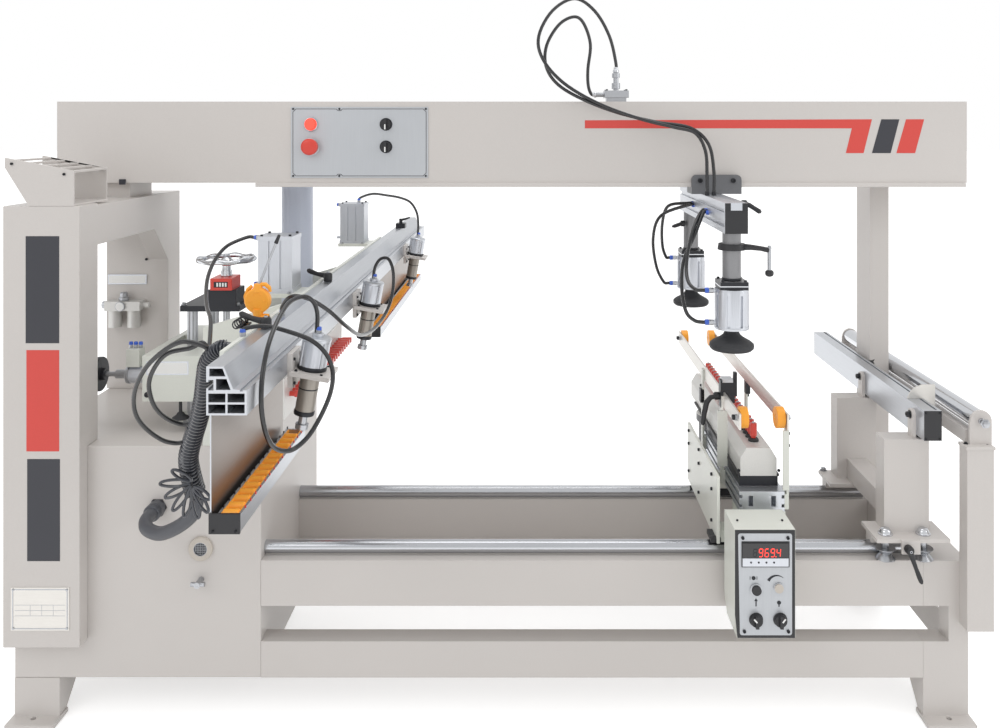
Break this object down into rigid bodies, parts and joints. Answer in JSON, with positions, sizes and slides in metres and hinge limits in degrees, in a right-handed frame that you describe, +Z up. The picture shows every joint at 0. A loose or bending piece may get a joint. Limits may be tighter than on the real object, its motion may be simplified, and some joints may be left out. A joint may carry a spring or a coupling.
{
  "type": "line boring machine",
  "caption": "Floor-standing two-head line boring machine with a bed on two rails, a portal and top beam, a long clamping fence, roller supports and a sliding boring carriage.",
  "frame": {"origin": "centre of the four floor-bolt holes, on the floor", "axes": "+X to the right along the bed as the operator stands at the front, +Y from the operator to the back, along the fence, +Z up"},
  "size_m": [2.72, 2.965, 1.9648],
  "materials": {
    "frame_paint": "satin, off-white paint",
    "green_white_paint": "satin, pale green-white paint",
    "grey_panel": "satin grey",
    "aluminium": "anodised",
    "cylinder_aluminium": "anodised, grey",
    "steel": "turned",
    "chrome": "plated",
    "plate_metal": "brushed plate",
    "black_plastic": "matte",
    "black_metal": "black oxide",
    "hose_black": "polyurethane hose",
    "conduit_grey": "corrugated conduit",
    "rubber_black": "matte",
    "orange_plastic": "moulded",
    "red_plastic": "gloss",
    "red_lamp": "translucent lens",
    "head_aluminium": "machined"
  },
  "bodies": {
    "machine": {"base_frame": "frame_paint", "cabinet": "frame_paint", "left_portal": "frame_paint", "slatted_tray": "frame_paint", "nameplate": "plate_metal", "top_beam": "frame_paint", "beam_supports": "frame_paint", "control_panel": "grey_panel", "panel_lamp": "red_lamp", "guide_rails": "chrome", "fence_rail": "aluminium", "fence_brackets": "green_white_paint", "fence_cylinders": "cylinder_aluminium", "roller_tracks": "aluminium", "track_rollers": "orange_plastic", "clamp_bodies": "cylinder_aluminium", "roller_frame": "frame_paint", "air_fittings": "steel", "head_guide": "black_metal", "air_gun": "orange_plastic", "cable_run": "conduit_grey", "air_hoses": "hose_black", "beam_hoses": "hose_black"},
    "stop_button": {"stop_button": "red_plastic"},
    "selector_upper": {"selector_upper": "black_plastic"},
    "selector_lower": {"selector_lower": "black_plastic"},
    "clamp_rod_front": {"clamp_rod_front": "steel"},
    "clamp_rod_middle": {"clamp_rod_middle": "steel"},
    "clamp_rod_rear": {"clamp_rod_rear": "steel"},
    "fence_lever_front": {"fence_lever_front": "black_plastic"},
    "fence_lever_middle": {"fence_lever_middle": "black_plastic"},
    "side_roller": {"side_roller": "steel"},
    "stand": {"stand_frame": "frame_paint", "stand_bar": "aluminium"},
    "v_wheel_left": {"v_wheel_left": "steel"},
    "v_wheel_right": {"v_wheel_right": "steel"},
    "stand_lever": {"stand_lever": "black_plastic"},
    "bar_stop": {"bar_stop": "frame_paint"},
    "carriage": {"carriage_base": "green_white_paint", "carriage_arms": "aluminium", "display_box": "black_plastic"},
    "arm_wheel_1": {"arm_wheel_1": "orange_plastic"},
    "arm_wheel_2": {"arm_wheel_2": "orange_plastic"},
    "arm_wheel_3": {"arm_wheel_3": "orange_plastic"},
    "arm_wheel_4": {"arm_wheel_4": "orange_plastic"},
    "boring_head": {"gearbox": "head_aluminium", "drill_chucks": "red_plastic"},
    "drive_spindle": {"drive_spindle": "red_plastic"},
    "push_button": {"push_button": "black_plastic"},
    "knob_left": {"knob_left": "black_plastic"},
    "knob_right": {"knob_right": "black_plastic"},
    "clamp_carriage": {"clamp_carriage": "cylinder_aluminium", "press_hoses": "hose_black"},
    "press_rod_near": {"press_rod_near": "rubber_black"},
    "press_rod_far": {"press_rod_far": "rubber_black"},
    "clamp_crank": {"clamp_crank": "black_plastic"},
    "height_slide": {"height_slide": "green_white_paint"},
    "left_head": {"left_gearbox": "head_aluminium"},
    "handwheel": {"handwheel": "chrome"},
    "depth_knob": {"depth_knob": "black_metal"}
  },
  "joints": [
    {"name": "stop_press", "type": "slide", "parent": "machine", "child": "stop_button", "axis": [0, 1, 0], "range_m": [0, 0.005], "stiffness_N_per_m": 600},
    {"name": "selector_upper_turn", "type": "hinge", "parent": "machine", "child": "selector_upper", "pos_m": [-0.328, -0.008, 1.578], "axis": [0, 1, 0], "range_deg": [-45, 45]},
    {"name": "selector_lower_turn", "type": "hinge", "parent": "machine", "child": "selector_lower", "pos_m": [-0.328, -0.008, 1.511], "axis": [0, 1, 0], "range_deg": [-45, 45]},
    {"name": "clamp_front_stroke", "type": "slide", "parent": "machine", "child": "clamp_rod_front", "axis": [-0.1736, 0, -0.9848], "range_m": [0, 0.055]},
    {"name": "clamp_middle_stroke", "type": "slide", "parent": "machine", "child": "clamp_rod_middle", "axis": [-0.1736, 0, -0.9848], "range_m": [0, 0.055]},
    {"name": "clamp_rear_stroke", "type": "slide", "parent": "machine", "child": "clamp_rod_rear", "axis": [-0.1736, 0, -0.9848], "range_m": [0, 0.055]},
    {"name": "fence_lever_front_turn", "type": "hinge", "parent": "machine", "child": "fence_lever_front", "pos_m": [-0.503, -0.648, 1.108], "axis": [0, 0, 1], "range_deg": [-60, 60]},
    {"name": "fence_lever_middle_turn", "type": "hinge", "parent": "machine", "child": "fence_lever_middle", "pos_m": [-0.503, 0, 1.108], "axis": [0, 0, 1], "range_deg": [-60, 60]},
    {"name": "side_roller_spin", "type": "hinge", "parent": "machine", "child": "side_roller", "pos_m": [1.284, 0, 0.799], "axis": [0, 1, 0], "continuous": true},
    {"name": "stand_slide", "type": "slide", "parent": "machine", "child": "stand", "axis": [1, 0, 0], "range_m": [-0.19, 0.005]},
    {"name": "v_wheel_left_roll", "type": "hinge", "parent": "stand", "child": "v_wheel_left", "pos_m": [1.045, -0.31317, 0.44], "axis": [0, 0, 1], "continuous": true},
    {"name": "v_wheel_right_roll", "type": "hinge", "parent": "stand", "child": "v_wheel_right", "pos_m": [1.145, -0.31317, 0.44], "axis": [0, 0, 1], "continuous": true},
    {"name": "stand_lever_turn", "type": "hinge", "parent": "stand", "child": "stand_lever", "pos_m": [1.087, -0.3553, 0.471], "axis": [0, 1, 0], "range_deg": [-40, 40]},
    {"name": "bar_stop_slide", "type": "slide", "parent": "stand", "child": "bar_stop", "axis": [0, 1, 0], "range_m": [-0.09, 0.35]},
    {"name": "carriage_slide", "type": "slide", "parent": "machine", "child": "carriage", "axis": [1, 0, 0], "range_m": [-0.75, 0.01]},
    {"name": "arm_wheel_1_spin", "type": "hinge", "parent": "carriage", "child": "arm_wheel_1", "pos_m": [0.6695, -0.302, 0.796], "axis": [1, 0, 0], "continuous": true},
    {"name": "arm_wheel_2_spin", "type": "hinge", "parent": "carriage", "child": "arm_wheel_2", "pos_m": [0.7665, -0.302, 0.796], "axis": [1, 0, 0], "continuous": true},
    {"name": "arm_wheel_3_spin", "type": "hinge", "parent": "carriage", "child": "arm_wheel_3", "pos_m": [0.6695, 0.624, 0.796], "axis": [1, 0, 0], "continuous": true},
    {"name": "arm_wheel_4_spin", "type": "hinge", "parent": "carriage", "child": "arm_wheel_4", "pos_m": [0.7665, 0.624, 0.796], "axis": [1, 0, 0], "continuous": true},
    {"name": "head_feed", "type": "slide", "parent": "carriage", "child": "boring_head", "axis": [0, 0, 1], "range_m": [0, 0.075]},
    {"name": "drive_spindle_spin", "type": "hinge", "parent": "boring_head", "child": "drive_spindle", "pos_m": [0.718, 0.102, 0.72], "axis": [0, 0, 1], "continuous": true},
    {"name": "push_button_press", "type": "slide", "parent": "carriage", "child": "push_button", "axis": [0, 1, 0], "range_m": [0, 0.003], "stiffness_N_per_m": 400},
    {"name": "knob_left_turn", "type": "hinge", "parent": "carriage", "child": "knob_left", "pos_m": [0.663, -0.47, 0.347], "axis": [0, 1, 0], "range_deg": [-135, 135]},
    {"name": "knob_right_turn", "type": "hinge", "parent": "carriage", "child": "knob_right", "pos_m": [0.723, -0.47, 0.347], "axis": [0, 1, 0], "range_deg": [-135, 135]},
    {"name": "clamp_carriage_slide", "type": "slide", "parent": "machine", "child": "clamp_carriage", "axis": [1, 0, 0], "range_m": [-0.7, 0.45]},
    {"name": "press_near_stroke", "type": "slide", "parent": "clamp_carriage", "child": "press_rod_near", "axis": [0, 0, -1], "range_m": [0, 0.12]},
    {"name": "press_far_stroke", "type": "slide", "parent": "clamp_carriage", "child": "press_rod_far", "axis": [0, 0, -1], "range_m": [0, 0.12]},
    {"name": "clamp_crank_turn", "type": "hinge", "parent": "clamp_carriage", "child": "clamp_crank", "pos_m": [0.64, -0.3, 1.243], "axis": [0, 0, 1], "range_deg": [-150, 150]},
    {"name": "left_height", "type": "slide", "parent": "machine", "child": "height_slide", "axis": [0, 0, 1], "range_m": [-0.01, 0.03]},
    {"name": "left_feed", "type": "slide", "parent": "height_slide", "child": "left_head", "axis": [1, 0, 0], "range_m": [0, 0.06]},
    {"name": "handwheel_turn", "type": "hinge", "parent": "machine", "child": "handwheel", "pos_m": [-0.78, -0.08, 1.186], "axis": [0, 0, 1], "continuous": true},
    {"name": "depth_knob_turn", "type": "hinge", "parent": "left_head", "child": "depth_knob", "pos_m": [-1.12, -0.14, 0.868], "axis": [1, 0, 0], "range_deg": [-360, 360]}
  ],
  "couplings": [
    {"joint": "v_wheel_left_roll", "follows": "stand_slide", "rad_per_m": 39.062},
    {"joint": "v_wheel_right_roll", "follows": "stand_slide", "rad_per_m": 39.062},
    {"joint": "handwheel_turn", "follows": "left_height", "rad_per_m": 1256.6}
  ]
}
